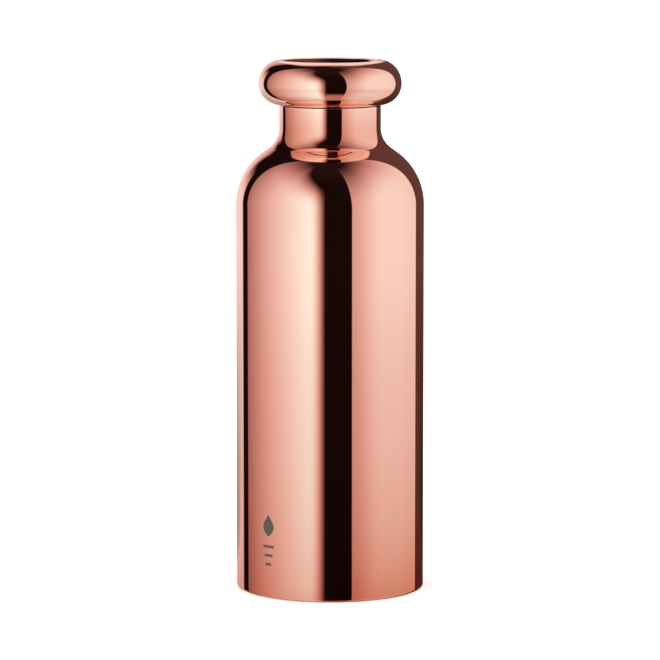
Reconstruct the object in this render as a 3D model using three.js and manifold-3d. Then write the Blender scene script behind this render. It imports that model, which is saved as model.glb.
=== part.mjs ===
// Double-wall vacuum water bottle with a copper-plated shell and a screw-in stopper under a ring-shaped cap.
// Millimetres, +Z up. The origin is on the bottle's axis, in the plane it stands on.

import * as THREE from 'three';
import { mergeVertices } from 'three/addons/utils/BufferGeometryUtils.js';
import Module from 'manifold-3d';

const wasm = await Module();
wasm.setup();

// ---- driving dimensions ----------------------------------------------------

const SEGMENTS = 32; // facets around every turned piece
const GAP = 0.3; // between pieces that touch
const CHAMFER = 0.4; // on the small moulded and pressed pieces

const OUTER_WALL = 0.6; // copper-plated stainless sheet
const INNER_WALL = 0.5; // stainless sheet of the flask that holds the water

const BODY_RADIUS = 40;
const NECK_RADIUS = 21.6;
const FOOT_EDGE_RADIUS = 1; // rounding of the bottom edge
const FOOT_INNER_RADIUS = 36; // the shell is rolled in under the bottle to here
const NECK_TOP = 205.7;
const LIP_TOP = 206.6; // the mouth ring is turned out over the neck

// The outside of the shoulder: a convex arc off the body and a concave one into the neck.
const OUTER_SHOULDER = {
  bodyRadius: BODY_RADIUS,
  neckRadius: NECK_RADIUS,
  arcRadius: 26.9,
  arcZ: 164.4,
  filletRadius: 9.9,
  filletZ: 197,
};

// The same for the outside of the inner flask, which leaves a 3 mm vacuum space.
const INNER_SHOULDER = {
  bodyRadius: 36.4,
  neckRadius: 19.9,
  arcRadius: 18,
  arcZ: 164.4,
  filletRadius: 6,
  filletZ: 189,
};

const FLASK_BOTTOM = 12; // outside of the flask's bottom
const FLASK_CORNER = 8; // its corner radius
const FLASK_SEAM = FLASK_BOTTOM + FLASK_CORNER; // weld between the flask and its bottom

const MOUTH_RADIUS = 19.4; // bore of the threaded ring welded into the flask's neck
const MOUTH_WALL = 1;

const FOIL_THICKNESS = 0.2;
const FOIL_MARGIN = { bottom: 1, top: 4 }; // from the flask's bottom seam and its shoulder

const RECESS_RADIUS = 34.8; // recess under the bottle
const RECESS_TOP = 4.6;
const BASE_WALL = 0.6;
const DIMPLE_RADIUS = 5; // pit in the base where the flask was evacuated
const DIMPLE_DEPTH = 1.6;
const PORT_RADIUS = 1;
const ADHESIVE_INNER = 20;
const ADHESIVE_OUTER = 32;
const SEAL_RADIUS = DIMPLE_RADIUS - 1;
const SEAL_HEIGHT = 0.5; // of the solder glass above its rounded lower face
const SEAL_DEPTH = 0.7; // of that face

const THREAD_LEAD = 9; // two starts, 4.5 mm apart
const THREAD_STARTS = 2;
const THREAD_CREST_WIDTH = 1.4;
const THREAD_ROOT_WIDTH = 2.3;
const MOUTH_THREAD = { depth: 1.2, turns: 1.1, bottom: 192.5 };
const STOPPER_THREAD = { depth: 1.4, turns: 0.75, bottom: 190.25 };

const STOPPER_RADIUS = 17.5;
const STOPPER_WALL = 2;
const STOPPER_BOTTOM = 187.2;
const STOPPER_COVER = 1.5; // thickness of the disc that closes the stopper
const FLANGE_BOTTOM = 208.2;
const FLANGE_TOP = 210.4;
const FLANGE_RADIUS = 24;
const FOAM_ABOVE_FLANGE = 6;

const GASKET_RADIUS = 20.6;
const GASKET_THICKNESS = 1.7;
const GASKET_CLEARANCE = 0.4; // round the stopper

const CAP_WALL = 0.8;
const CAP_RADIUS = 30.4;
const CAP_TOP = 225.7;
const CAP_WIDEST_Z = 215.8;
const CREST_RADIUS = 21.3; // radius of the ring's highest line
const CAP_LOWER_ARC = 8.9; // radius of the section below the widest line
const CAP_LOWER_END = -78; // degrees, where the lower arc meets the underside plate
const CREST_ARC = 4; // from the crest into the dish
const CREST_SWEEP = 40; // degrees of it
const DISH_ARC = 15; // from there to the dish's floor

const COPPER = { color: 0xc97d63, roughness: 0.08, metalness: 1 };
const STEEL = { color: 0xb9b7b2, roughness: 0.3, metalness: 1 };
const COPPER_FOIL = { color: 0xc47a55, roughness: 0.35, metalness: 1 };
const BLACK_PLASTIC = { color: 0x1b1a1a, roughness: 0.55, metalness: 0 };
const WHITE_PLASTIC = { color: 0xe2dfd8, roughness: 0.6, metalness: 0 };
const FOAM = { color: 0xe6dcb8, roughness: 0.95, metalness: 0 };
const SILICONE = { color: 0xd9d7d2, roughness: 0.5, metalness: 0 };
const ADHESIVE = { color: 0x8a8a86, roughness: 0.8, metalness: 0 };
const SOLDER_GLASS = { color: 0x3c4a44, roughness: 0.15, metalness: 0 };
const GETTER = { color: 0x5b5a58, roughness: 0.9, metalness: 0.4 };

// ---- outlines and solids -----------------------------------------------------

// Points [radius, z] on an arc, both ends included. Angles are in degrees from +radius towards +z.
function arc([centreRadius, centreZ], radiusR, from, to, steps, radiusZ = radiusR) {
  const points = [];
  for (let i = 0; i <= steps; i++) {
    const angle = THREE.MathUtils.degToRad(from + ((to - from) * i) / steps);
    points.push([centreRadius + radiusR * Math.cos(angle), centreZ + radiusZ * Math.sin(angle)]);
  }
  return points;
}

// A turned solid about Z. The outline runs anticlockwise in the (radius, z) plane, and closes on
// itself unless it starts and ends on the axis.
function turned(outline) {
  const onAxis = outline[0][0] === 0 && outline[outline.length - 1][0] === 0;
  const closed = onAxis ? outline : [...outline, outline[0]];
  const points = closed.map(([radius, z]) => new THREE.Vector2(radius, z));
  return new THREE.LatheGeometry(points, SEGMENTS).rotateX(Math.PI / 2);
}

// A sheet wall between an outer line, from bottom to top, and an inner one, from bottom to top.
function wall(outer, inner) {
  return turned([...outer, ...inner.reverse()]);
}

function toManifold(geometry) {
  geometry.deleteAttribute('normal');
  geometry.deleteAttribute('uv');
  const merged = mergeVertices(geometry);
  const index = merged.index.array;
  const position = merged.attributes.position.array;
  const triangles = [];
  for (let i = 0; i < index.length; i += 3) {
    const [a, b, c] = [index[i], index[i + 1], index[i + 2]];
    if (a !== b && b !== c && c !== a) triangles.push(a, b, c);
  }
  const mesh = new wasm.Mesh({
    numProp: 3,
    vertProperties: new Float32Array(position),
    triVerts: new Uint32Array(triangles),
  });
  return new wasm.Manifold(mesh);
}

function toGeometry(manifold) {
  const mesh = manifold.getMesh();
  const geometry = new THREE.BufferGeometry();
  geometry.setAttribute('position', new THREE.BufferAttribute(new Float32Array(mesh.vertProperties), 3));
  geometry.setIndex(new THREE.BufferAttribute(new Uint32Array(mesh.triVerts), 1));
  return geometry;
}

// Angle, from the horizontal, at which the shoulder's two arcs share their common tangent.
function shoulderAngle(shoulder) {
  const across = shoulder.neckRadius + shoulder.filletRadius - (shoulder.bodyRadius - shoulder.arcRadius);
  const up = shoulder.filletZ - shoulder.arcZ;
  const reach = (shoulder.arcRadius + shoulder.filletRadius) / Math.hypot(across, up);
  return THREE.MathUtils.radToDeg(Math.atan2(up, across) - Math.acos(reach));
}

// The shoulder's line from body to neck, moved in by inset.
function shoulderLine(shoulder, inset) {
  const angle = shoulderAngle(shoulder);
  const arcCentre = [shoulder.bodyRadius - shoulder.arcRadius, shoulder.arcZ];
  const filletCentre = [shoulder.neckRadius + shoulder.filletRadius, shoulder.filletZ];
  return [
    ...arc(arcCentre, shoulder.arcRadius - inset, 0, angle, 6),
    ...arc(filletCentre, shoulder.filletRadius + inset, 180 + angle, 180, 4),
  ];
}

// A helix about Z whose frames keep the section's x along the radius and its y along -Z.
class Helix extends THREE.Curve {
  constructor(radius, turns, startAngle, startZ) {
    super();
    Object.assign(this, { radius, turns, startAngle, startZ });
  }

  getPoint(t, target = new THREE.Vector3()) {
    const turn = this.turns * t;
    const angle = this.startAngle + 2 * Math.PI * turn;
    return target.set(
      this.radius * Math.cos(angle),
      this.radius * Math.sin(angle),
      this.startZ + THREAD_LEAD * turn,
    );
  }

  computeFrenetFrames(segments) {
    const frames = { tangents: [], normals: [], binormals: [] };
    for (let i = 0; i <= segments; i++) {
      const angle = this.startAngle + (2 * Math.PI * this.turns * i) / segments;
      frames.normals.push(new THREE.Vector3(Math.cos(angle), Math.sin(angle), 0));
      frames.tangents.push(new THREE.Vector3(-Math.sin(angle), Math.cos(angle), 0));
      frames.binormals.push(new THREE.Vector3(0, 0, -1));
    }
    return frames;
  }
}

// The ridges of a two-start thread on a wall of the given radius. side is 1 for ridges that stand
// outwards and -1 for inwards.
function threadRidges(radius, thread, side) {
  const bury = 0.25;
  const half = (width) => width / 2;
  const section = new THREE.Shape([
    new THREE.Vector2(-side * bury, -half(THREAD_ROOT_WIDTH)),
    new THREE.Vector2(0, -half(THREAD_ROOT_WIDTH)),
    new THREE.Vector2(side * thread.depth, -half(THREAD_CREST_WIDTH)),
    new THREE.Vector2(side * thread.depth, half(THREAD_CREST_WIDTH)),
    new THREE.Vector2(0, half(THREAD_ROOT_WIDTH)),
    new THREE.Vector2(-side * bury, half(THREAD_ROOT_WIDTH)),
  ]);
  const ridges = [];
  for (let start = 0; start < THREAD_STARTS; start++) {
    const helix = new Helix(radius, thread.turns, (2 * Math.PI * start) / THREAD_STARTS, thread.bottom);
    const ridge = new THREE.ExtrudeGeometry(section, {
      steps: Math.round(SEGMENTS * thread.turns),
      bevelEnabled: false,
      extrudePath: helix,
    });
    ridges.push(toManifold(ridge));
  }
  return ridges;
}

function withThread(geometry, radius, thread, side) {
  let solid = toManifold(geometry);
  for (const ridge of threadRidges(radius, thread, side)) {
    solid = solid.add(ridge);
  }
  return toGeometry(solid);
}

// ---- the bottle ----------------------------------------------------------------

function outerShell() {
  const footCentre = [BODY_RADIUS - FOOT_EDGE_RADIUS, FOOT_EDGE_RADIUS];
  const line = (inset) => [
    [FOOT_INNER_RADIUS, inset],
    ...arc(footCentre, FOOT_EDGE_RADIUS - inset, -90, 0, 3),
    ...shoulderLine(OUTER_SHOULDER, inset),
    [NECK_RADIUS - inset, NECK_TOP],
  ];
  return wall(line(0), line(OUTER_WALL));
}

// Stamped cup welded in above the rolled foot, with the evacuation pit at its centre.
function outerBase() {
  const flangeRadius = BODY_RADIUS - OUTER_WALL - GAP - FOOT_EDGE_RADIUS / 2;
  const flangeBottom = OUTER_WALL + GAP;
  const pitTop = RECESS_TOP + DIMPLE_DEPTH;
  const draft = 0.6;
  const line = (offset) => [
    [PORT_RADIUS, pitTop + offset],
    [DIMPLE_RADIUS - draft + offset, pitTop + offset],
    [DIMPLE_RADIUS + offset, RECESS_TOP + offset],
    [RECESS_RADIUS + offset, RECESS_TOP + offset],
    [RECESS_RADIUS + draft + offset, flangeBottom + offset],
    [flangeRadius, flangeBottom + offset],
  ];
  return turned([...line(0), ...line(BASE_WALL).reverse()]);
}

const COVER_RADIUS = RECESS_RADIUS - GAP;
const COVER_BOTTOM = 2.6;
const COVER_THICKNESS = 0.8;

// Plate that hides the pit under the bottle.
function baseCover() {
  return turned([
    [0, COVER_BOTTOM],
    [COVER_RADIUS - CHAMFER, COVER_BOTTOM],
    [COVER_RADIUS, COVER_BOTTOM + CHAMFER],
    [COVER_RADIUS, COVER_BOTTOM + COVER_THICKNESS],
    [0, COVER_BOTTOM + COVER_THICKNESS],
  ]);
}

// Ring of adhesive that bonds the cover to the base.
function coverAdhesive() {
  const bottom = COVER_BOTTOM + COVER_THICKNESS + GAP;
  const top = RECESS_TOP - GAP;
  return turned([
    [ADHESIVE_INNER, bottom],
    [ADHESIVE_OUTER, bottom],
    [ADHESIVE_OUTER, top],
    [ADHESIVE_INNER, top],
  ]);
}

// Bead of solder glass in the pit.
function vacuumSeal() {
  const top = RECESS_TOP + DIMPLE_DEPTH - GAP;
  const face = arc([0, top - SEAL_HEIGHT], SEAL_RADIUS, -90, 0, 3, SEAL_DEPTH);
  return turned([...face, [SEAL_RADIUS, top], [0, top]]);
}

function innerFlask() {
  const line = (inset) => [
    [INNER_SHOULDER.bodyRadius - inset, FLASK_SEAM + GAP],
    ...shoulderLine(INNER_SHOULDER, inset),
  ];
  return wall(line(0), line(INNER_WALL));
}

// Threaded ring that joins the flask's neck to the shell's and forms the lip.
function mouthRing() {
  const bottom = INNER_SHOULDER.filletZ + GAP;
  const outer = MOUTH_RADIUS + MOUTH_WALL;
  const lipBottom = LIP_TOP - OUTER_WALL;
  const rounding = OUTER_WALL / 2;
  const outline = [
    [MOUTH_RADIUS, bottom],
    [outer, bottom],
    [outer, lipBottom],
    ...arc([NECK_RADIUS - rounding, lipBottom + rounding], rounding, -90, 90, 4),
    [MOUTH_RADIUS + rounding, LIP_TOP],
    [MOUTH_RADIUS, LIP_TOP - rounding],
  ];
  return withThread(turned(outline), MOUTH_RADIUS, MOUTH_THREAD, -1);
}

function innerFlaskBottom() {
  const centre = [INNER_SHOULDER.bodyRadius - FLASK_CORNER, FLASK_SEAM];
  const line = (inset) => [[0, FLASK_BOTTOM + inset], ...arc(centre, FLASK_CORNER - inset, -90, 0, 5)];
  return wall(line(0), line(INNER_WALL));
}

// Copper foil wrapped round the flask, in the vacuum.
function radiationFoil() {
  const inner = INNER_SHOULDER.bodyRadius + GAP;
  const outer = inner + FOIL_THICKNESS;
  const bottom = FLASK_SEAM + FOIL_MARGIN.bottom;
  const top = INNER_SHOULDER.arcZ - FOIL_MARGIN.top;
  return turned([[inner, bottom], [outer, bottom], [outer, top], [inner, top]]);
}

const GETTER_OFFSET = 20; // from the axis
const GETTER_RADIUS = 4.5;
const GETTER_HEIGHT = 2;
const HOLDER_WALL = 0.4;
const HOLDER_BOTTOM = RECESS_TOP + BASE_WALL + GAP;

// Pressed tablet that takes up stray gas in the vacuum.
function getterPellet() {
  const bottom = HOLDER_BOTTOM + HOLDER_WALL + GAP;
  return turned([
    [0, bottom],
    [GETTER_RADIUS - CHAMFER, bottom],
    [GETTER_RADIUS, bottom + CHAMFER],
    [GETTER_RADIUS, bottom + GETTER_HEIGHT - CHAMFER],
    [GETTER_RADIUS - CHAMFER, bottom + GETTER_HEIGHT],
    [0, bottom + GETTER_HEIGHT],
  ]);
}

// Stamped cup, spot-welded to the base, that holds the tablet.
function getterHolder() {
  const inner = GETTER_RADIUS + GAP;
  const outer = inner + HOLDER_WALL;
  const top = HOLDER_BOTTOM + GETTER_HEIGHT;
  return turned([
    [0, HOLDER_BOTTOM],
    [outer, HOLDER_BOTTOM],
    [outer, top],
    [inner, top],
    [inner, HOLDER_BOTTOM + HOLDER_WALL],
    [0, HOLDER_BOTTOM + HOLDER_WALL],
  ]);
}

// ---- the cap and its stopper ------------------------------------------------------

const LOWER_CENTRE = [CAP_RADIUS - CAP_LOWER_ARC, CAP_WIDEST_Z];

// Line of the ring-shaped cap from the middle of its dish out over the crest and round to its
// underside, moved in by inset.
function capLine(inset) {
  const crestCentre = [CREST_RADIUS, CAP_TOP - CREST_ARC];
  const joinAngle = 90 + CREST_SWEEP;
  const join = THREE.MathUtils.degToRad(joinAngle);
  const reach = CREST_ARC + DISH_ARC;
  const dishCentre = [crestCentre[0] + reach * Math.cos(join), crestCentre[1] + reach * Math.sin(join)];
  const ringCentre = [CREST_RADIUS, CAP_WIDEST_Z];
  const ringWidth = CAP_RADIUS - CREST_RADIUS;
  const ringHeight = CAP_TOP - CAP_WIDEST_Z;
  return [
    [0, dishCentre[1] - DISH_ARC - inset],
    ...arc(dishCentre, DISH_ARC + inset, 270, 270 + CREST_SWEEP, 3),
    ...arc(crestCentre, CREST_ARC - inset, joinAngle, 90, 3).slice(1, -1),
    ...arc(ringCentre, ringWidth - inset, 90, 0, 6, ringHeight - inset),
    ...arc(LOWER_CENTRE, CAP_LOWER_ARC - inset, 0, CAP_LOWER_END, 5).slice(1),
  ];
}

function capShell() {
  return turned([...capLine(CAP_WALL), ...capLine(0).reverse()]);
}

// Plate that closes the cap's shell round the stopper.
function capUnderside() {
  const [shellEndRadius, shellEndZ] = capLine(0).at(-1);
  const outer = shellEndRadius - GAP;
  const inner = GASKET_RADIUS + GAP;
  const bottom = LIP_TOP + GAP;
  return turned([
    [inner, bottom],
    [NECK_RADIUS, bottom],
    [outer, shellEndZ],
    [outer, shellEndZ + CAP_WALL],
    [inner, bottom + CAP_WALL],
  ]);
}

// The point between a and b where the given coordinate, 0 for radius or 1 for z, has this value.
function pointAt(a, b, coordinate, value) {
  const share = (value - a[coordinate]) / (b[coordinate] - a[coordinate]);
  return [a[0] + share * (b[0] - a[0]), a[1] + share * (b[1] - a[1])];
}

// Moulded ring that fills the shell and carries it on the stopper.
function capFormer() {
  const innerRadius = STOPPER_RADIUS - STOPPER_WALL + GAP;
  const bottom = FLANGE_TOP + GAP;
  const skin = capLine(CAP_WALL + GAP);
  const first = skin.findIndex(([radius]) => radius > innerRadius);
  const last = skin.findLastIndex(([, z]) => z > bottom);
  const start = pointAt(skin[first - 1], skin[first], 0, innerRadius);
  const end = pointAt(skin[last], skin[last + 1], 1, bottom);
  return turned([[innerRadius, bottom], end, ...skin.slice(first, last + 1).reverse(), start]);
}

// Threaded plug of the stopper, with the flange that sits inside the cap.
function stopperCore() {
  const inner = STOPPER_RADIUS - STOPPER_WALL;
  const bottom = STOPPER_BOTTOM + STOPPER_COVER + GAP;
  const seat = LIP_TOP + GAP + GASKET_THICKNESS + GAP;
  const step = GASKET_RADIUS + GAP;
  const outline = [
    [inner, bottom],
    [STOPPER_RADIUS, bottom],
    [STOPPER_RADIUS, seat],
    [step, seat],
    [step, FLANGE_BOTTOM],
    [FLANGE_RADIUS, FLANGE_BOTTOM],
    [FLANGE_RADIUS, FLANGE_TOP],
    [inner, FLANGE_TOP],
  ];
  return withThread(turned(outline), STOPPER_RADIUS, STOPPER_THREAD, 1);
}

const SPIGOT_RADIUS = STOPPER_RADIUS - STOPPER_WALL - GAP;
const SPIGOT_HEIGHT = 1.5;
const SPIGOT_WALL = 1.5;

// Disc, with a spigot that is welded into the plug, that closes the stopper.
function stopperCover() {
  const top = STOPPER_BOTTOM + STOPPER_COVER;
  return turned([
    [0, STOPPER_BOTTOM],
    [STOPPER_RADIUS - CHAMFER, STOPPER_BOTTOM],
    [STOPPER_RADIUS, STOPPER_BOTTOM + CHAMFER],
    [STOPPER_RADIUS, top],
    [SPIGOT_RADIUS, top],
    [SPIGOT_RADIUS, top + SPIGOT_HEIGHT],
    [SPIGOT_RADIUS - SPIGOT_WALL, top + SPIGOT_HEIGHT],
    [SPIGOT_RADIUS - SPIGOT_WALL, top],
    [0, top],
  ]);
}

// Foam plug that insulates the stopper.
function stopperFoam() {
  const bottom = STOPPER_BOTTOM + STOPPER_COVER + SPIGOT_HEIGHT + GAP;
  const top = FLANGE_TOP + FOAM_ABOVE_FLANGE;
  return turned([[0, bottom], [SPIGOT_RADIUS, bottom], [SPIGOT_RADIUS, top], [0, top]]);
}

// Silicone ring that seals the cap on the lip.
function capGasket() {
  const inner = STOPPER_RADIUS + GASKET_CLEARANCE;
  const bottom = LIP_TOP + GAP;
  const top = bottom + GASKET_THICKNESS;
  return turned([
    [inner, bottom],
    [GASKET_RADIUS - CHAMFER, bottom],
    [GASKET_RADIUS, bottom + CHAMFER],
    [GASKET_RADIUS, top],
    [inner, top],
  ]);
}

// ---- the assembly --------------------------------------------------------------------

function piece(name, geometry, finish) {
  const mesh = new THREE.Mesh(geometry, new THREE.MeshStandardMaterial(finish));
  mesh.name = name;
  return mesh;
}

const getter = new THREE.Group();
getter.add(
  piece('getter_holder', getterHolder(), STEEL),
  piece('getter_pellet', getterPellet(), GETTER),
);
getter.position.x = GETTER_OFFSET;

const body = new THREE.Group();
body.add(
  piece('outer_shell', outerShell(), COPPER),
  piece('outer_base', outerBase(), STEEL),
  piece('base_cover', baseCover(), COPPER),
  piece('cover_adhesive', coverAdhesive(), ADHESIVE),
  piece('vacuum_seal', vacuumSeal(), SOLDER_GLASS),
  piece('inner_flask', innerFlask(), STEEL),
  piece('mouth_ring', mouthRing(), STEEL),
  piece('inner_flask_bottom', innerFlaskBottom(), STEEL),
  piece('radiation_foil', radiationFoil(), COPPER_FOIL),
  getter,
);

const cap = new THREE.Group();
cap.add(
  piece('cap_shell', capShell(), COPPER),
  piece('cap_underside', capUnderside(), COPPER),
  piece('cap_former', capFormer(), WHITE_PLASTIC),
  piece('stopper_core', stopperCore(), BLACK_PLASTIC),
  piece('stopper_cover', stopperCover(), BLACK_PLASTIC),
  piece('stopper_foam', stopperFoam(), FOAM),
  piece('cap_gasket', capGasket(), SILICONE),
);

const bottle = new THREE.Group();
bottle.add(body, cap);

export default bottle;
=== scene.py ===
"""Copper-finished vacuum bottle: fine meshes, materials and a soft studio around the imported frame."""

import math

import bpy
import numpy as np
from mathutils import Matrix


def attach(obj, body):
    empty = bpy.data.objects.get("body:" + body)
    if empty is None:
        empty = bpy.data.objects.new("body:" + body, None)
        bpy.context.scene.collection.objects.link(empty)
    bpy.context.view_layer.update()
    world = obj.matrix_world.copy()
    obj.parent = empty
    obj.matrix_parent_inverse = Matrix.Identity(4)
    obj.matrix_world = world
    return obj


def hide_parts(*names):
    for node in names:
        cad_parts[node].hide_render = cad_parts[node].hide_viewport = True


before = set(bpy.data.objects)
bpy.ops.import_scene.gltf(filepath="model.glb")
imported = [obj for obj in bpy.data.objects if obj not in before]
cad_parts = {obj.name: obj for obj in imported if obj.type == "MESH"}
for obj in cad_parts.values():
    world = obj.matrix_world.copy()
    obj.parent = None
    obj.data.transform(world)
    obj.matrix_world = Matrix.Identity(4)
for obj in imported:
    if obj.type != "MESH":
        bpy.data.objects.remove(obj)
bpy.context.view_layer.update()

MM = 0.001
SEGMENTS = 192  # around each turned piece
SMALL_SEGMENTS = 64  # around the smallest ones
SHARP_ANGLE = 40  # degrees

# ---- sizes, in millimetres -------------------------------------------------------
# They are the CAD's, apart from the two radii of OUTER_SHOULDER, which are up to 0.6 mm larger,
# and what the CAD leaves out: both panels, the gasket's groove and the threads' run-outs.

GAP = 0.3
OUTER_WALL = 0.6
INNER_WALL = 0.5
BODY_RADIUS = 40
NECK_RADIUS = 21.6
FOOT_EDGE_RADIUS = 1
FOOT_INNER_RADIUS = 36
LIP_TOP = 206.6  # the shell is drawn up to here too, and the CAD's ends 0.9 mm lower
LIP_EDGE = 0.3  # rounding of the lip
OUTER_SHOULDER = dict(body=BODY_RADIUS, neck=NECK_RADIUS, arc=27.2, arc_z=164.4, fillet=10.5, fillet_z=197)
INNER_SHOULDER = dict(body=36.4, neck=19.9, arc=18, arc_z=164.4, fillet=6, fillet_z=189)
FLASK_BOTTOM = 12
FLASK_CORNER = 8
FLASK_SEAM = FLASK_BOTTOM + FLASK_CORNER
FOIL_THICKNESS = 0.2
FOIL_MARGIN = dict(bottom=1, top=4)
MOUTH_RADIUS = 19.4
MOUTH_WALL = 1
RECESS_RADIUS = 34.8
RECESS_TOP = 4.6
BASE_WALL = 0.6
DIMPLE_RADIUS = 5
DIMPLE_DEPTH = 1.6
PORT_RADIUS = 1
SEAL_HEIGHT = 0.5
SEAL_DEPTH = 0.7
ADHESIVE_INNER = 20
ADHESIVE_OUTER = 32
COVER_BOTTOM = 2.6
COVER_THICKNESS = 0.8
COVER_PANEL = dict(radius=26, step=0.6, height=0.25)  # hollow in the cover's lower face
THREAD_LEAD = 9
THREAD_STARTS = 2
CREST_WIDTH = 1.4
ROOT_WIDTH = 2.3
THREAD_RUN_OUT = 0.06  # turns over which a ridge rises at its ends
THREAD_STEP = 0.2  # of the mesh along a wall that carries a thread
MOUTH_THREAD = dict(depth=1.2, turns=1.1, bottom=192.5)
STOPPER_THREAD = dict(depth=1.4, turns=0.75, bottom=190.25)
STOPPER_RADIUS = 17.5
STOPPER_WALL = 2
STOPPER_BOTTOM = 187.2
STOPPER_COVER = 1.5
STOPPER_PANEL = dict(radius=9, step=0.6, height=0.4)  # hollow in the stopper's lower end
SPIGOT_RADIUS = STOPPER_RADIUS - STOPPER_WALL - GAP
SPIGOT_HEIGHT = 1.5
SPIGOT_WALL = 1.5
FOAM_ABOVE_FLANGE = 6
FLANGE_BOTTOM = 208.2
FLANGE_TOP = 210.4
FLANGE_RADIUS = 24
CAP_WALL = 0.8
CAP_RADIUS = 30.4
CAP_TOP = 225.7
CAP_WIDEST_Z = 215.8
CREST_RADIUS = 21.3
CAP_LOWER_ARC = 8.9
CAP_LOWER_END = -78
CREST_ARC = 4
CREST_SWEEP = 40
DISH_ARC = 15
GASKET_RADIUS = 20.6
GASKET_THICKNESS = 1.7
GASKET_CLEARANCE = 0.4
GASKET_GROOVE = dict(inner=18.7, outer=19.75, side=0.25, depth=0.25)  # between its two beads
HOLDER_BOTTOM = RECESS_TOP + BASE_WALL + GAP
HOLDER_WALL = 0.4
GETTER_RADIUS = 4.5
GETTER_HEIGHT = 2
GETTER_PLACE = (20, 0)


# ---- node trees ------------------------------------------------------------------


class Graph:
    """A node tree with short calls to fill it."""

    def __init__(self, tree):
        self.tree = tree
        self.tree.nodes.clear()

    def node(self, kind, inputs=None, **settings):
        made = self.tree.nodes.new(kind)
        for name, value in settings.items():
            setattr(made, name, value)
        for key, value in (inputs or {}).items():
            self.put(made.inputs[key], value)
        return made

    def put(self, socket, value):
        if isinstance(value, bpy.types.NodeSocket):
            self.tree.links.new(value, socket)
        else:
            socket.default_value = value

    def math(self, operation, *values):
        return self.node("ShaderNodeMath", dict(enumerate(values)), operation=operation).outputs[0]

    def product(self, *values):
        result = values[0]
        for value in values[1:]:
            result = self.math("MULTIPLY", result, value)
        return result

    def span(self, value, start, end, low=0.0, high=1.0, smooth=True):
        """value taken from the range start to end to the range low to high, and held outside it."""
        kind = "SMOOTHSTEP" if smooth else "LINEAR"
        inputs = {"Value": value, "From Min": start, "From Max": end, "To Min": low, "To Max": high}
        return self.node("ShaderNodeMapRange", inputs, interpolation_type=kind).outputs["Result"]

    def mix(self, factor, first, second):
        inputs = {0: factor, 6: self.rgba(first), 7: self.rgba(second)}
        return self.node("ShaderNodeMix", inputs, data_type="RGBA").outputs[2]

    @staticmethod
    def rgba(colour):
        return (*colour, 1) if isinstance(colour, tuple) and len(colour) == 3 else colour

    def noise(self, vector, scale, detail=2.0, roughness=0.5):
        inputs = {"Vector": vector, "Scale": scale, "Detail": detail, "Roughness": roughness}
        return self.node("ShaderNodeTexNoise", inputs).outputs["Fac"]

    def cells(self, vector, scale):
        return self.node("ShaderNodeTexVoronoi", {"Vector": vector, "Scale": scale}).outputs["Distance"]

    def place(self):
        """Position on the piece, in metres."""
        return self.node("ShaderNodeTexCoord").outputs["Object"]

    def parts(self, vector):
        made = self.node("ShaderNodeSeparateXYZ", {0: vector})
        return [made.outputs[axis] for axis in range(3)]

    def join(self, x, y, z):
        return self.node("ShaderNodeCombineXYZ", {0: x, 1: y, 2: z}).outputs[0]

    def from_axis(self, x, y):
        return self.math("SQRT", self.math("ADD", self.math("MULTIPLY", x, x), self.math("MULTIPLY", y, y)))

    def round_lines(self, around, along):
        """A vector that varies slowly round the axis and fast along the outline, for turning marks."""
        x, y, z = self.parts(self.place())
        radius = self.from_axis(x, y)
        safe = self.math("MAXIMUM", radius, 0.0005)
        travel = self.math("MULTIPLY_ADD", radius, 0.6, z)
        return self.join(
            self.math("MULTIPLY", self.math("DIVIDE", x, safe), around),
            self.math("MULTIPLY", self.math("DIVIDE", y, safe), around),
            self.math("MULTIPLY", travel, along),
        )

    def bump(self, height, distance, strength=1.0, normal=None):
        inputs = {"Height": height, "Distance": distance, "Strength": strength}
        if normal is not None:
            inputs["Normal"] = normal
        return self.node("ShaderNodeBump", inputs).outputs["Normal"]


def material(name, **constants):
    """A principled material: its graph, and its shader with the given sockets set."""
    made = bpy.data.materials.new(name)
    made.use_nodes = True
    graph = Graph(made.node_tree)
    shader = graph.node("ShaderNodeBsdfPrincipled")
    for socket, value in constants.items():
        shader.inputs[socket.replace("_", " ").title().replace("Ior", "IOR")].default_value = value
    output = graph.node("ShaderNodeOutputMaterial")
    graph.tree.links.new(shader.outputs[0], output.inputs[0])
    return made, graph, shader


# ---- materials -------------------------------------------------------------------


def neck_painted_shade(g):
    """How strongly shade is painted on the neck as a deeper copper colour: by height it comes in over the
    fillet, gets weaker upwards, and stops under the lip."""
    z = g.parts(g.place())[2]
    neck = g.math("MULTIPLY", g.span(z, 0.187, 0.195), g.span(z, 0.2056, 0.2052))
    return g.math("MULTIPLY", neck, g.span(z, 0.196, 0.2055, 0.85, 0.3))


def copper_plating():
    """Mirror copper over polished steel, with faint polishing lines and handling marks, and shade
    painted on the neck as a deeper copper colour."""
    made, g, shader = material("copper_plating_mirror", metallic=1.0)
    lines = g.noise(g.round_lines(0.6, 9000), 1.0, 3, 0.7)
    haze = g.noise(g.place(), 55, 3, 0.55)
    marks = g.span(g.noise(g.place(), 190, 4, 0.6), 0.6, 0.78)
    tone = g.mix(g.span(haze, 0.35, 0.7), (0.955, 0.638, 0.538), (0.95, 0.628, 0.526))
    # The neck's deeper colour is painted shade, strongest low on the neck just above the fillet.
    g.put(shader.inputs["Base Color"], g.mix(neck_painted_shade(g), tone, (0.84, 0.42, 0.31)))
    rough = g.math("ADD", g.span(lines, 0.3, 0.7, 0.016, 0.03), g.span(haze, 0.45, 0.75, 0.0, 0.012))
    g.put(shader.inputs["Roughness"], g.math("MULTIPLY_ADD", marks, 0.02, rough))
    g.put(shader.inputs["Normal"], g.bump(lines, 0.0000004))
    return made


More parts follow.
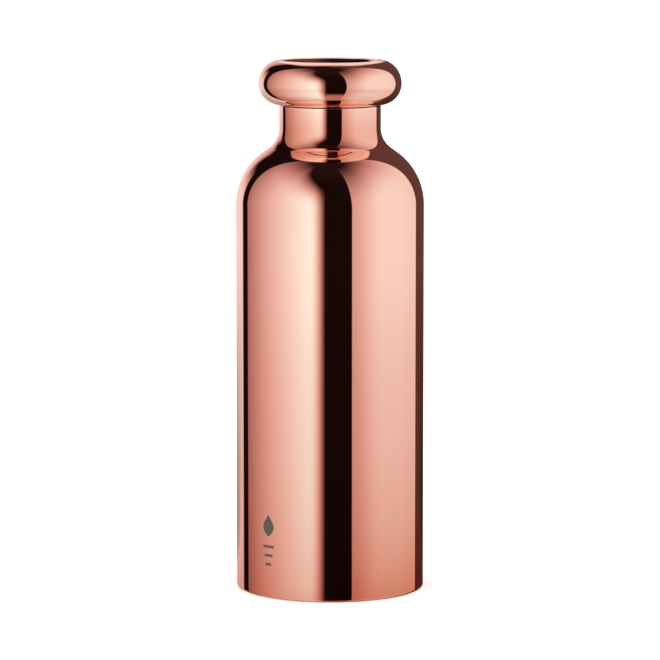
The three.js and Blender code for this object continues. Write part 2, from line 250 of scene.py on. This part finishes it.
def brushed_steel(name, tint, low, high, depth):
    """Stainless steel turned or brushed round its axis."""
    made, g, shader = material(name, metallic=1.0)
    lines = g.noise(g.round_lines(1.4, 5200), 1.0, 4, 0.75)
    stain = g.noise(g.place(), 70, 3, 0.6)
    darker = tuple(0.8 * channel for channel in tint)
    g.put(shader.inputs["Base Color"], g.mix(g.span(stain, 0.35, 0.75), tint, darker))
    rough = g.math("ADD", g.span(lines, 0.3, 0.7, low, high), g.span(stain, 0.4, 0.8, 0, 0.06))
    g.put(shader.inputs["Roughness"], rough)
    g.put(shader.inputs["Normal"], g.bump(lines, depth))
    return made


def moulded_plastic(name, colour, low, high, coat=0.0):
    """Injection-moulded plastic: fine texture and flow marks."""
    made, g, shader = material(name, metallic=0.0, coat_weight=coat, coat_roughness=0.25)
    grain = g.noise(g.place(), 5200, 3, 0.6)
    flow = g.noise(g.round_lines(2.2, 260), 1.0, 3, 0.5)
    lighter = tuple(min(1.0, 1.22 * channel + 0.004) for channel in colour)
    g.put(shader.inputs["Base Color"], g.mix(g.span(flow, 0.3, 0.75), colour, lighter))
    g.put(shader.inputs["Roughness"], g.span(flow, 0.3, 0.7, low, high))
    g.put(shader.inputs["Normal"], g.bump(flow, 0.00003, 0.5, g.bump(grain, 0.00001)))
    return made


def silicone():
    """Soft translucent rubber with a dusty skin."""
    made, g, shader = material(
        "silicone_rubber", metallic=0.0, subsurface_weight=0.25, subsurface_scale=0.002,
    )
    shader.inputs["Subsurface Radius"].default_value = (1.0, 0.9, 0.8)
    dust = g.noise(g.place(), 900, 4, 0.65)
    g.put(shader.inputs["Base Color"], g.mix(g.span(dust, 0.4, 0.75), (0.70, 0.69, 0.66), (0.60, 0.58, 0.54)))
    g.put(shader.inputs["Roughness"], g.span(dust, 0.3, 0.7, 0.42, 0.6))
    g.put(shader.inputs["Normal"], g.bump(g.noise(g.place(), 3000, 2), 0.000012))
    return made


def insulating_foam():
    """Rigid foam with open cells in its skin."""
    made, g, shader = material("insulating_foam", metallic=0.0)
    cells = g.cells(g.place(), 1400)
    # The colour is darker at the middle of each cell, where the bump sinks its pit: painted shade in the
    # pits.
    g.put(shader.inputs["Base Color"], g.mix(g.span(cells, 0.1, 0.7), (0.55, 0.48, 0.30), (0.78, 0.71, 0.50)))
    g.put(shader.inputs["Roughness"], g.span(cells, 0, 1, 0.85, 1.0))
    g.put(shader.inputs["Normal"], g.bump(cells, 0.0003))
    return made


def copper_foil():
    """Thin foil wrapped by hand, with crinkles."""
    made, g, shader = material("crinkled_foil", metallic=1.0)
    crinkle = g.cells(g.place(), 160)
    fine = g.noise(g.place(), 420, 4, 0.6)
    g.put(shader.inputs["Base Color"], g.mix(g.span(fine, 0.3, 0.7), (0.90, 0.55, 0.40), (0.76, 0.43, 0.30)))
    g.put(shader.inputs["Roughness"], g.span(fine, 0.3, 0.7, 0.24, 0.42))
    g.put(shader.inputs["Normal"], g.bump(crinkle, 0.0006, 0.6, g.bump(fine, 0.0002)))
    return made


def grainy(name, colour, second, scale, low, high, depth, **constants):
    """A granular solid such as glue, fused glass or a pressed tablet."""
    made, g, shader = material(name, **constants)
    grain = g.noise(g.place(), scale, 4, 0.65)
    g.put(shader.inputs["Base Color"], g.mix(g.span(grain, 0.35, 0.7), colour, second))
    g.put(shader.inputs["Roughness"], g.span(grain, 0.3, 0.7, low, high))
    g.put(shader.inputs["Normal"], g.bump(grain, depth))
    return made


COPPER = copper_plating()
FLASK_STEEL = brushed_steel("polished_flask_steel", (0.62, 0.60, 0.57), 0.16, 0.28, 0.000002)
STAMPED_STEEL = brushed_steel("stamped_steel", (0.54, 0.53, 0.51), 0.28, 0.42, 0.000004)
BLACK_PLASTIC = moulded_plastic("black_plastic_moulded", (0.014, 0.0135, 0.013), 0.38, 0.52)
WHITE_PLASTIC = moulded_plastic("white_plastic_moulded", (0.70, 0.68, 0.63), 0.42, 0.58)
SILICONE = silicone()
FOAM = insulating_foam()
FOIL = copper_foil()
ADHESIVE = grainy(
    "cured_adhesive", (0.24, 0.24, 0.23), (0.36, 0.35, 0.33), 700, 0.55, 0.8, 0.0002, metallic=0.0,
)
GLASS = grainy(
    "solder_glass_bead", (0.025, 0.05, 0.04), (0.05, 0.08, 0.065), 500, 0.05, 0.2, 0.00003,
    metallic=0.0, coat_weight=0.6,
)
GETTER = grainy(
    "getter_tablet", (0.10, 0.10, 0.098), (0.17, 0.165, 0.16), 5000, 0.8, 1.0, 0.0001, metallic=0.4,
)
INK = grainy(
    "printed_ink", (0.045, 0.042, 0.042), (0.075, 0.070, 0.070), 2600, 0.5, 0.72, 0.000004, metallic=0.0,
)


# ---- outlines and turned meshes ------------------------------------------------


def arc(centre, radius, start, end, step=3.0, radius_z=None):
    """Points [radius, z] on an arc, both ends included. Angles are in degrees from +radius towards +z."""
    radius_z = radius if radius_z is None else radius_z
    count = max(2, round(abs(end - start) / step))
    angles = np.radians(np.linspace(start, end, count + 1))
    return [(centre[0] + radius * math.cos(a), centre[1] + radius_z * math.sin(a)) for a in angles]


def rounded(*corners):
    """An outline through the corners (radius, z) or (radius, z, rounding)."""
    points = []
    for i, corner in enumerate(corners):
        here = np.array(corner[:2], float)
        if len(corner) < 3:
            points.append(tuple(here))
            continue
        before = np.array(corners[i - 1][:2], float) - here
        after = np.array(corners[(i + 1) % len(corners)][:2], float) - here
        before, after = before / np.linalg.norm(before), after / np.linalg.norm(after)
        half = math.acos(np.clip(before @ after, -1, 1)) / 2
        back = corner[2] / math.tan(half)
        bisector = (before + after) / np.linalg.norm(before + after)
        centre = here + bisector * corner[2] / math.sin(half)
        first, last = here + before * back - centre, here + after * back - centre
        sweep = math.atan2(first[0] * last[1] - first[1] * last[0], first @ last)
        for share in np.linspace(0, 1, 6):
            turn = sweep * share
            c, s = math.cos(turn), math.sin(turn)
            points.append((centre[0] + c * first[0] - s * first[1], centre[1] + s * first[0] + c * first[1]))
    return points


def divided(line, step):
    """The line with its long straight runs cut into shorter ones."""
    points = [line[0]]
    for a, b in zip(line, line[1:]):
        count = max(1, math.ceil(math.dist(a, b) / step))
        for k in range(1, count + 1):
            points.append((a[0] + (b[0] - a[0]) * k / count, a[1] + (b[1] - a[1]) * k / count))
    return points


def mesh_object(name, vertices, faces):
    """A smooth-shaded mesh from places in millimetres, with its edges over SHARP_ANGLE kept sharp."""
    mesh = bpy.data.meshes.new(name)
    mesh.from_pydata([tuple(MM * c for c in v) for v in vertices], [], faces)
    mesh.validate()
    mesh.update()
    mesh.shade_smooth()
    mesh.set_sharp_from_angle(angle=math.radians(SHARP_ANGLE))
    made = bpy.data.objects.new(name, mesh)
    bpy.context.scene.collection.objects.link(made)
    return made


def turned(name, line, step=2.0, segments=SEGMENTS, relief=None, centre=(0, 0)):
    """A piece turned about Z from an outline that runs anticlockwise in the (radius, z) plane, and
    closes on itself unless it starts and ends on the axis. relief(angle, radius, z) is added to the
    radius."""
    on_axis = line[0][0] == 0 and line[-1][0] == 0
    run = divided(line if on_axis else [*line, line[0]], step)
    rows = run if on_axis else run[:-1]
    angles = np.linspace(0, 2 * math.pi, segments, endpoint=False)
    vertices, rings = [], []
    for radius, z in rows:
        if radius == 0:
            rings.append([len(vertices)] * segments)
            vertices.append((centre[0], centre[1], z))
            continue
        rings.append(list(range(len(vertices), len(vertices) + segments)))
        for angle in angles:
            r = radius + (relief(angle, radius, z) if relief else 0)
            vertices.append((centre[0] + r * math.cos(angle), centre[1] + r * math.sin(angle), z))
    pairs = list(zip(rings, rings[1:])) + ([] if on_axis else [(rings[-1], rings[0])])
    faces = []
    for low, high in pairs:
        for k in range(segments):
            n = (k + 1) % segments
            corners = dict.fromkeys([low[k], low[n], high[n], high[k]])
            if len(corners) > 2:
                faces.append(tuple(corners))
    return mesh_object(name, vertices, faces)


def wall(outer, inner):
    return [*outer, *inner[::-1]]


def shoulder_line(shoulder, inset, step=1.0):
    """The shoulder's line from body to neck, moved in by inset."""
    across = shoulder["neck"] + shoulder["fillet"] - (shoulder["body"] - shoulder["arc"])
    up = shoulder["fillet_z"] - shoulder["arc_z"]
    reach = (shoulder["arc"] + shoulder["fillet"]) / math.hypot(across, up)
    angle = math.degrees(math.atan2(up, across) - math.acos(reach))
    arc_centre = (shoulder["body"] - shoulder["arc"], shoulder["arc_z"])
    fillet_centre = (shoulder["neck"] + shoulder["fillet"], shoulder["fillet_z"])
    return [
        *arc(arc_centre, shoulder["arc"] - inset, 0, angle, step),
        *arc(fillet_centre, shoulder["fillet"] + inset, 180 + angle, 180, step),
    ]


def thread_relief(wall_radius, thread, side):
    """How far a two-start thread stands off a wall, with rounded flanks and run-outs at both ends."""

    def relief(angle, radius, z):
        if abs(radius - wall_radius) > 0.01:
            return 0.0
        height = 0.0
        for start in range(THREAD_STARTS):
            base = (angle / (2 * math.pi) - start / THREAD_STARTS) % 1.0
            for turn in (base, base + 1):
                if turn > thread["turns"]:
                    continue
                off = abs(z - thread["bottom"] - THREAD_LEAD * turn)
                flank = (ROOT_WIDTH / 2 - off) / ((ROOT_WIDTH - CREST_WIDTH) / 2)
                flank = min(1.0, max(0.0, flank))
                ends = min(1.0, turn / THREAD_RUN_OUT, (thread["turns"] - turn) / THREAD_RUN_OUT)
                height = max(height, flank * flank * (3 - 2 * flank) * max(0.0, ends) ** 0.5)
        return side * thread["depth"] * height

    return relief


# ---- the bottle ------------------------------------------------------------------


def shell_line(inset, step):
    foot = (BODY_RADIUS - FOOT_EDGE_RADIUS, FOOT_EDGE_RADIUS)
    lip = arc((NECK_RADIUS - LIP_EDGE, LIP_TOP - LIP_EDGE), LIP_EDGE, 0, 90, 15)
    return [
        (FOOT_INNER_RADIUS, inset),
        *arc(foot, FOOT_EDGE_RADIUS - inset, -90, 0, 6),
        *shoulder_line(OUTER_SHOULDER, inset, step),
        *(lip if inset == 0 else [(NECK_RADIUS - inset, LIP_TOP)]),
    ]


def base_line():
    """The recessed bottom with its evacuation pit, as a wall round the port."""
    flange = BODY_RADIUS - OUTER_WALL - GAP - FOOT_EDGE_RADIUS / 2
    bottom = OUTER_WALL + GAP
    pit = RECESS_TOP + DIMPLE_DEPTH
    draft = 0.6

    def line(offset, rounding):
        return [
            (PORT_RADIUS, pit + offset),
            (DIMPLE_RADIUS - draft + offset, pit + offset, rounding),
            (DIMPLE_RADIUS + offset, RECESS_TOP + offset, rounding),
            (RECESS_RADIUS + offset, RECESS_TOP + offset, rounding),
            (RECESS_RADIUS + draft + offset, bottom + offset, rounding),
            (flange, bottom + offset),
        ]

    return rounded(*line(0, 0.3), *line(BASE_WALL, 0.3)[::-1])


def mouth_line():
    bottom = INNER_SHOULDER["fillet_z"] + GAP
    outer = MOUTH_RADIUS + MOUTH_WALL
    lip_bottom = LIP_TOP - OUTER_WALL
    weld = NECK_RADIUS - OUTER_WALL - 0.02
    return [
        (MOUTH_RADIUS, bottom),
        (outer, bottom),
        (outer, lip_bottom),
        (weld, lip_bottom),
        (weld, LIP_TOP),
        *arc((MOUTH_RADIUS + LIP_EDGE, LIP_TOP - LIP_EDGE), LIP_EDGE, 90, 180, 15),
    ]


def flask_bottom_line():
    centre = (INNER_SHOULDER["body"] - FLASK_CORNER, FLASK_SEAM)

    def line(inset):
        return [(0, FLASK_BOTTOM + inset), *arc(centre, FLASK_CORNER - inset, -90, 0, 3)]

    return wall(line(0), line(INNER_WALL))


def flask_line(inset):
    radius = INNER_SHOULDER["body"] - inset
    return [(radius, FLASK_SEAM + GAP), *shoulder_line(INNER_SHOULDER, inset, 2)]


def box_line(inner, outer, bottom, top, edge):
    return rounded((inner, bottom, edge), (outer, bottom, edge), (outer, top, edge), (inner, top, edge))


def disc_line(radius, bottom, top, edge):
    return rounded((0, bottom), (radius, bottom, edge), (radius, top, edge), (0, top))


# ---- the cap ---------------------------------------------------------------------


def cap_line(inset, step):
    """The ring-shaped cap's line from the middle of its dish over the crest to its underside."""
    crest = (CREST_RADIUS, CAP_TOP - CREST_ARC)
    join = 90 + CREST_SWEEP
    reach = CREST_ARC + DISH_ARC
    dish = (crest[0] + reach * math.cos(math.radians(join)), crest[1] + reach * math.sin(math.radians(join)))
    ring = (CREST_RADIUS, CAP_WIDEST_Z)
    width, height = CAP_RADIUS - CREST_RADIUS, CAP_TOP - CAP_WIDEST_Z
    lower = (CAP_RADIUS - CAP_LOWER_ARC, CAP_WIDEST_Z)
    return [
        (0, dish[1] - DISH_ARC - inset),
        *arc(dish, DISH_ARC + inset, 270, 270 + CREST_SWEEP, step),
        *arc(crest, CREST_ARC - inset, join, 90, step)[1:-1],
        *arc(ring, width - inset, 90, 0, step, height - inset),
        *arc(lower, CAP_LOWER_ARC - inset, 0, CAP_LOWER_END, step)[1:],
    ]


def underside_line():
    end_radius, end_z = cap_line(0, 3)[-1]
    inner = GASKET_RADIUS + GAP
    bottom = LIP_TOP + GAP
    outer = end_radius - GAP
    return rounded(
        (inner, bottom, 0.15),
        (NECK_RADIUS, bottom, 0.6),
        (outer, end_z, 0.15),
        (outer, end_z + CAP_WALL),
        (inner, bottom + CAP_WALL),
    )


def crossing(a, b, axis, value):
    share = (value - a[axis]) / (b[axis] - a[axis])
    return (a[0] + share * (b[0] - a[0]), a[1] + share * (b[1] - a[1]))


def former_line():
    inner = STOPPER_RADIUS - STOPPER_WALL + GAP
    bottom = FLANGE_TOP + GAP
    skin = cap_line(CAP_WALL + GAP, 3)
    first = next(i for i, point in enumerate(skin) if point[0] > inner)
    last = max(i for i, point in enumerate(skin) if point[1] > bottom)
    start = crossing(skin[first - 1], skin[first], 0, inner)
    end = crossing(skin[last], skin[last + 1], 1, bottom)
    return [(inner, bottom), end, *skin[first : last + 1][::-1], start]


def core_line():
    inner = STOPPER_RADIUS - STOPPER_WALL
    bottom = STOPPER_BOTTOM + STOPPER_COVER + GAP
    gasket_top = LIP_TOP + GAP + GASKET_THICKNESS
    step = GASKET_RADIUS + GAP
    return rounded(
        (inner, bottom),
        (STOPPER_RADIUS, bottom, 0.15),
        (STOPPER_RADIUS, gasket_top + GAP),
        (step, gasket_top + GAP),
        (step, FLANGE_BOTTOM),
        (FLANGE_RADIUS, FLANGE_BOTTOM, 0.2),
        (FLANGE_RADIUS, FLANGE_TOP, 0.2),
        (inner, FLANGE_TOP),
    )


def stopper_cover_line():
    panel = STOPPER_PANEL
    top = STOPPER_BOTTOM + STOPPER_COVER
    spigot_top = top + SPIGOT_HEIGHT
    spigot_inner = SPIGOT_RADIUS - SPIGOT_WALL
    return rounded(
        (0, STOPPER_BOTTOM + panel["height"]),
        (panel["radius"], STOPPER_BOTTOM + panel["height"], 0.3),
        (panel["radius"] + panel["step"], STOPPER_BOTTOM, 0.3),
        (STOPPER_RADIUS, STOPPER_BOTTOM, 0.8),
        (STOPPER_RADIUS, top, 0.1),
        (SPIGOT_RADIUS, top),
        (SPIGOT_RADIUS, spigot_top, 0.2),
        (spigot_inner, spigot_top, 0.2),
        (spigot_inner, top),
        (0, top),
    )


def gasket_line():
    """Sealing ring with two raised beads on its lower face."""
    inner = STOPPER_RADIUS + GASKET_CLEARANCE
    bottom = LIP_TOP + GAP
    top = bottom + GASKET_THICKNESS
    groove = GASKET_GROOVE
    groove_top = bottom + groove["depth"]
    return rounded(
        (inner, bottom, 0.25),
        (groove["inner"], bottom, 0.2),
        (groove["inner"] + groove["side"], groove_top, 0.1),
        (groove["outer"] - groove["side"], groove_top, 0.1),
        (groove["outer"], bottom, 0.2),
        (GASKET_RADIUS, bottom, 0.3),
        (GASKET_RADIUS, top, 0.3),
        (inner, top, 0.3),
    )


def holder_line():
    inner = GETTER_RADIUS + GAP
    outer = inner + HOLDER_WALL
    top = HOLDER_BOTTOM + GETTER_HEIGHT
    return rounded(
        (0, HOLDER_BOTTOM),
        (outer, HOLDER_BOTTOM, 0.35),
        (outer, top, 0.15),
        (inner, top, 0.15),
        (inner, HOLDER_BOTTOM + HOLDER_WALL, 0.15),
        (0, HOLDER_BOTTOM + HOLDER_WALL),
    )


def getter_line():
    bottom = HOLDER_BOTTOM + HOLDER_WALL + GAP
    return disc_line(GETTER_RADIUS, bottom, bottom + GETTER_HEIGHT, 0.4)


def bead_line():
    radius = DIMPLE_RADIUS - 1
    top = RECESS_TOP + DIMPLE_DEPTH - GAP
    return [*arc((0, top - SEAL_HEIGHT), radius, -90, 0, 6, SEAL_DEPTH), (radius, top), (0, top)]


def cover_line():
    radius = RECESS_RADIUS - GAP
    top = COVER_BOTTOM + COVER_THICKNESS
    panel = COVER_PANEL
    return rounded(
        (0, COVER_BOTTOM + panel["height"]),
        (panel["radius"], COVER_BOTTOM + panel["height"], 0.4),
        (panel["radius"] + panel["step"], COVER_BOTTOM, 0.4),
        (radius, COVER_BOTTOM, 0.3),
        (radius, top),
        (0, top),
    )


# ---- the pieces ------------------------------------------------------------------


def add(body, node, finish, piece):
    piece.data.materials.append(finish)
    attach(piece, body)
    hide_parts(node)
    return piece


def fine_threaded(line, radius):
    """The line with short steps on the wall that carries the thread."""
    closed = [*line, line[0]]
    points = []
    for a, b in zip(closed, closed[1:]):
        on_wall = abs(a[0] - radius) < 0.01 and abs(b[0] - radius) < 0.01
        points += divided([a, b], THREAD_STEP if on_wall else 2.0)[:-1]
    return points


shell = turned("shell_and_shoulder", wall(shell_line(0, 1), shell_line(OUTER_WALL, 4)))
add("bottle", "outer_shell", COPPER, shell)
add("bottle", "outer_base", STAMPED_STEEL, turned("recessed_base", base_line(), 3))
add("bottle", "base_cover", COPPER, turned("foot_cover", cover_line(), 3))
add(
    "bottle", "cover_adhesive", ADHESIVE,
    turned(
        "cover_glue_ring",
        box_line(
            ADHESIVE_INNER, ADHESIVE_OUTER, COVER_BOTTOM + COVER_THICKNESS + GAP, RECESS_TOP - GAP, 0.2,
        ),
        3,
    ),
)
add(
    "bottle", "vacuum_seal", GLASS,
    turned("port_glass_bead", bead_line(), 1, SMALL_SEGMENTS),
)
add(
    "bottle", "inner_flask", FLASK_STEEL,
    turned("flask_wall", wall(flask_line(0), flask_line(INNER_WALL))),
)
add("bottle", "inner_flask_bottom", FLASK_STEEL, turned("flask_floor", flask_bottom_line(), 3))
add(
    "bottle", "mouth_ring", FLASK_STEEL,
    turned(
        "threaded_mouth",
        fine_threaded(mouth_line(), MOUTH_RADIUS),
        relief=thread_relief(MOUTH_RADIUS, MOUTH_THREAD, -1),
    ),
)
add(
    "bottle", "radiation_foil", FOIL,
    turned(
        "flask_foil_wrap",
        box_line(
            INNER_SHOULDER["body"] + GAP, INNER_SHOULDER["body"] + GAP + FOIL_THICKNESS,
            FLASK_SEAM + FOIL_MARGIN["bottom"], INNER_SHOULDER["arc_z"] - FOIL_MARGIN["top"], 0.05,
        ),
        6,
    ),
)
add(
    "bottle", "getter_holder", STAMPED_STEEL,
    turned("getter_cup", holder_line(), 1, SMALL_SEGMENTS, centre=GETTER_PLACE),
)
add(
    "bottle", "getter_pellet", GETTER,
    turned("getter_tablet", getter_line(), 1, SMALL_SEGMENTS, centre=GETTER_PLACE),
)

add("gasket", "cap_gasket", SILICONE, turned("sealing_ring", gasket_line(), 1))

cap_skin = [*cap_line(CAP_WALL, 4), *cap_line(0, 1.5)[::-1]]
add("cap", "cap_shell", COPPER, turned("ring_cap", cap_skin, 1))
add("cap", "cap_underside", COPPER, turned("cap_under_ring", underside_line(), 1))
add("cap", "cap_former", WHITE_PLASTIC, turned("cap_core_ring", former_line(), 2))
add(
    "cap", "stopper_core", BLACK_PLASTIC,
    turned(
        "threaded_stopper",
        fine_threaded(core_line(), STOPPER_RADIUS),
        relief=thread_relief(STOPPER_RADIUS, STOPPER_THREAD, 1),
    ),
)
add(
    "cap", "stopper_cover", BLACK_PLASTIC,
    turned("stopper_end_disc", stopper_cover_line(), 2),
)
foam_bottom = STOPPER_BOTTOM + STOPPER_COVER + SPIGOT_HEIGHT + GAP
foam_top = FLANGE_TOP + FOAM_ABOVE_FLANGE
add(
    "cap", "stopper_foam", FOAM,
    turned("stopper_foam_plug", disc_line(SPIGOT_RADIUS, foam_bottom, foam_top, 0.4), 2),
)


# ---- the printed mark --------------------------------------------------------------

MARK_AZIMUTH = -40.6  # degrees round the body from the front
MARK_LIFT = 0.012
MARK_DEPTH = 0.02
MARK_COLUMNS = 7  # points across each of its shapes
DROP = dict(width=3.78, bottom=26.5, height=9.5)
BAR_HEIGHT = 1.1
BARS = ((2.9, 21.6), (2.2, 17.8), (1.5, 14.0))  # half width and bottom of each


def mark_strip(outline_pairs):
    """Faces of a printed shape from pairs of (left, right, z), wrapped on the body."""
    vertices, faces = [], []
    for radius in (BODY_RADIUS + MARK_LIFT, BODY_RADIUS + MARK_LIFT + MARK_DEPTH):
        for left, right, z in outline_pairs:
            for across in np.linspace(left, right, MARK_COLUMNS):
                angle = math.radians(MARK_AZIMUTH) + across / BODY_RADIUS
                vertices.append((radius * math.sin(angle), -radius * math.cos(angle), z))
    rows, columns = len(outline_pairs), MARK_COLUMNS
    layer = rows * columns

    def index(level, row, column):
        return level * layer + row * columns + column

    for row in range(rows - 1):
        for column in range(columns - 1):
            ring = [(row, column), (row, column + 1), (row + 1, column + 1), (row + 1, column)]
            faces.append([index(1, r, c) for r, c in ring])
            faces.append([index(0, r, c) for r, c in ring[::-1]])
    rim = [(0, c) for c in range(columns)] + [(r, columns - 1) for r in range(1, rows)]
    rim += [(rows - 1, c) for c in range(columns - 2, -1, -1)] + [(r, 0) for r in range(rows - 2, 0, -1)]
    for (r1, c1), (r2, c2) in zip(rim, rim[1:] + rim[:1]):
        faces.append([index(0, r1, c1), index(0, r2, c2), index(1, r2, c2), index(1, r1, c1)])
    return vertices, faces


def printed_mark():
    """A drop above three short bars."""
    drop = []
    for share in np.linspace(0.02, 0.98, 17):
        half = DROP["width"] * math.sin(math.pi * share) ** 0.9 * (1 - share) ** 0.45
        drop.append((-half, half, DROP["bottom"] + DROP["height"] * share))
    bars = [[(-half, half, z), (-half, half, z + BAR_HEIGHT)] for half, z in BARS]
    vertices, faces = [], []
    for shape in (drop, *bars):
        some, rings = mark_strip(shape)
        faces += [[i + len(vertices) for i in ring] for ring in rings]
        vertices += some
    mark = mesh_object("printed_drop_mark", vertices, faces)
    mark.data.materials.append(INK)
    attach(mark, "bottle")


printed_mark()


# ---- studio ----------------------------------------------------------------------
# The edges, levels and fades of the light below were chosen to agree with the reflections in the
# photograph, as measured from its camera. From other angles they are not evidence of a real room.

FLOOR_HALF, FLOOR_Z = 40000, -0.05
REFLECTED_HALF, REFLECTED_Z = 1500, -0.1


def studio_panels(g, azimuth, height):
    """Level of light from two large panels, a sweep behind on the left and a dim wall behind on the
    right. Azimuth is in degrees from the camera's side towards +X, height in degrees."""

    def across(start, end, low, high, smooth=True):
        return g.span(azimuth, start, end, low, high, smooth)

    def fading(start, end):
        return g.span(height, start, end, 1.0, 0.0)

    gain = g.math("POWER", across(-122.0, -28.0, 0.0, 1.0, False), 1.15)
    left = g.product(
        g.math("MULTIPLY_ADD", gain, 1.06, 0.22),
        across(-121.8, -120.6, 0.0, 1.0),
        across(-24.0, -5.0, 1.0, 0.0),
        fading(across(-122.0, -12.0, 48.0, 0.0, False), across(-60.0, -12.0, 80.0, 42.0, False)),
    )
    right = g.product(
        across(22.0, 68.0, 0.48, 0.98),
        across(90.0, 130.0, 1.0, 0.9),
        across(26.6, 27.4, 0.0, 1.0),
        across(129.5, 131.5, 1.0, 0.0),
        fading(across(50.0, 85.0, 3.0, 22.0), 83.0),
    )
    sweep = g.product(
        across(-180.0, -158.0, 0.55, 0.86, False),
        across(-137.0, -133.0, 1.0, 0.0),
        fading(0.0, across(-172.0, -150.0, 60.0, 24.0, False)),
    )
    wall_behind = g.product(across(130.0, 131.5, 0.0, 0.055), fading(60.0, 85.0))
    return g.math("ADD", g.math("ADD", left, right), g.math("ADD", sweep, wall_behind))


def warmed(g, level):
    """Colour of the light at a level, redder where it is dim."""
    lost = g.math("EXPONENT", g.math("MULTIPLY", level, -2.1))
    red = g.math("MULTIPLY_ADD", lost, -1.15, 1.15)
    blue = g.math("MULTIPLY", level, g.math("MULTIPLY_ADD", level, 0.1, 0.87))
    return g.join(red, level, blue)


def studio_world():
    """Diffusion panels and a pale sweep, seen by the polished metal, under a soft white dome."""
    world = bpy.data.worlds.new("studio")
    bpy.context.scene.world = world
    world.use_nodes = True
    world.cycles.sampling_method = "NONE"
    g = Graph(world.node_tree)
    x, y, z = g.parts(g.node("ShaderNodeTexCoord").outputs["Generated"])
    azimuth = g.math("DEGREES", g.math("ARCTAN2", x, g.math("MULTIPLY", y, -1.0)))
    height = g.math("DEGREES", g.math("ARCSINE", z))
    over_floor = g.span(height, -80.0, -62.0)
    low_boost = g.span(height, -45.0, -15.0, 1.35, 1.0)
    lit = g.math("MULTIPLY", studio_panels(g, azimuth, height), g.math("MULTIPLY", over_floor, low_boost))
    table = g.span(height, -54.0, -32.0, 0.38, 0.004)
    ceiling = g.span(height, 40.0, 75.0, 0.004, 0.008)
    turned_away = g.math("ABSOLUTE", azimuth)
    sky_start = g.span(turned_away, 160.0, 178.0, 44.0, 0.0, smooth=False)
    sky_end = g.math("ADD", sky_start, 10.0)
    back_sky = g.math("MULTIPLY", g.span(height, sky_start, sky_end), g.span(height, 46.0, 66.0, 1.0, 0.0))
    back_sky = g.math("MULTIPLY", back_sky, g.span(turned_away, 150.0, 172.0, 0.0, 0.9))
    level = g.math("MAXIMUM", g.math("MAXIMUM", lit, back_sky), g.math("MAXIMUM", table, ceiling))
    glow = warmed(g, level)
    towards_key = g.math("MULTIPLY_ADD", y, -0.2, g.math("MULTIPLY", z, 0.25))
    towards_key = g.math("MULTIPLY_ADD", x, -0.22, towards_key)
    dome = g.math("ADD", towards_key, 1.5)
    ray = g.node("ShaderNodeLightPath").outputs
    seen = g.node("ShaderNodeBackground", {"Color": (1, 1, 1, 1), "Strength": 1.0})
    soft = g.node("ShaderNodeBackground", {"Color": (1.0, 0.985, 0.97, 1), "Strength": dome})
    mirrored = g.node("ShaderNodeBackground", {"Color": glow, "Strength": 1.0})
    soft, mirrored, seen = soft.outputs[0], mirrored.outputs[0], seen.outputs[0]
    unseen = g.node("ShaderNodeMixShader", {0: ray["Is Glossy Ray"], 1: soft, 2: mirrored}).outputs[0]
    all_rays = g.node("ShaderNodeMixShader", {0: ray["Is Camera Ray"], 1: unseen, 2: seen}).outputs[0]
    g.node("ShaderNodeOutputWorld", {"Surface": all_rays})


def plane(name, half, z, finish):
    corners = [(-half, -half, z), (half, -half, z), (half, half, z), (-half, half, z)]
    made = mesh_object(name, corners, [(0, 1, 2, 3)])
    made.data.materials.append(finish)
    return made


def floor():
    """A pale floor for the camera, and the polished metal's own view of the table near the foot."""
    pale, g, shader = material("pale_floor", metallic=0.0, roughness=0.9)
    speck = g.noise(g.place(), 3.0, 2)
    g.put(shader.inputs["Base Color"], g.mix(speck, (0.90, 0.90, 0.90), (0.91, 0.91, 0.905)))
    shader.inputs["Specular IOR Level"].default_value = 0.0
    plane("pale_floor", FLOOR_HALF, FLOOR_Z, pale).visible_glossy = False

    tint = bpy.data.materials.new("table_in_reflection")
    tint.use_nodes = True
    g = Graph(tint.node_tree)
    x, y, _ = g.parts(g.place())
    away = g.from_axis(x, y)
    nearness = g.math("EXPONENT", g.math("MULTIPLY", g.math("SQRT", away), -2.0))
    nearness = g.math("MULTIPLY", nearness, g.span(away, 0.6, 1.45, 1.0, 0.0))
    taken = g.math("MULTIPLY", nearness, g.span(x, -0.03, 0.03, 0.75, 1.0))
    turned_back = g.span(g.math("DIVIDE", y, g.math("MAXIMUM", away, 0.001)), 0.6, 0.95, 0.0, 1.6)
    lost = g.math("MULTIPLY", nearness, turned_back)
    kept = g.math("MAXIMUM", g.math("MULTIPLY_ADD", lost, -1.0, 1.0), 0.1)
    shade = g.join(*(
        g.math("MULTIPLY", g.math("MULTIPLY_ADD", taken, -share, 1.0), kept) for share in (0.5, 1.0, 1.13)
    ))
    clear = g.node("ShaderNodeBsdfTransparent", {"Color": shade})
    g.node("ShaderNodeOutputMaterial", {"Surface": clear.outputs[0]})
    reflected = plane("table_in_reflection", REFLECTED_HALF, REFLECTED_Z, tint)
    for ray in ("camera", "diffuse", "shadow", "transmission", "volume_scatter"):
        setattr(reflected, f"visible_{ray}", False)


CAMERA_PLACE = (0, -1.6, 0.3192)  # metres
CAMERA_TILT = 82.566  # degrees up from straight down
CAMERA_LENS = 206  # millimetres, on a sensor 36 wide


def camera():
    data = bpy.data.cameras.new("camera")
    data.sensor_width, data.lens = 36, CAMERA_LENS
    data.clip_start, data.clip_end = 0.1, 200
    made = bpy.data.objects.new("camera", data)
    made.location = CAMERA_PLACE
    made.rotation_euler = (math.radians(CAMERA_TILT), 0, 0)
    bpy.context.scene.collection.objects.link(made)
    bpy.context.scene.camera = made


studio_world()
floor()
camera()
bpy.context.scene.view_settings.view_transform = "Standard"
bpy.context.view_layer.update()
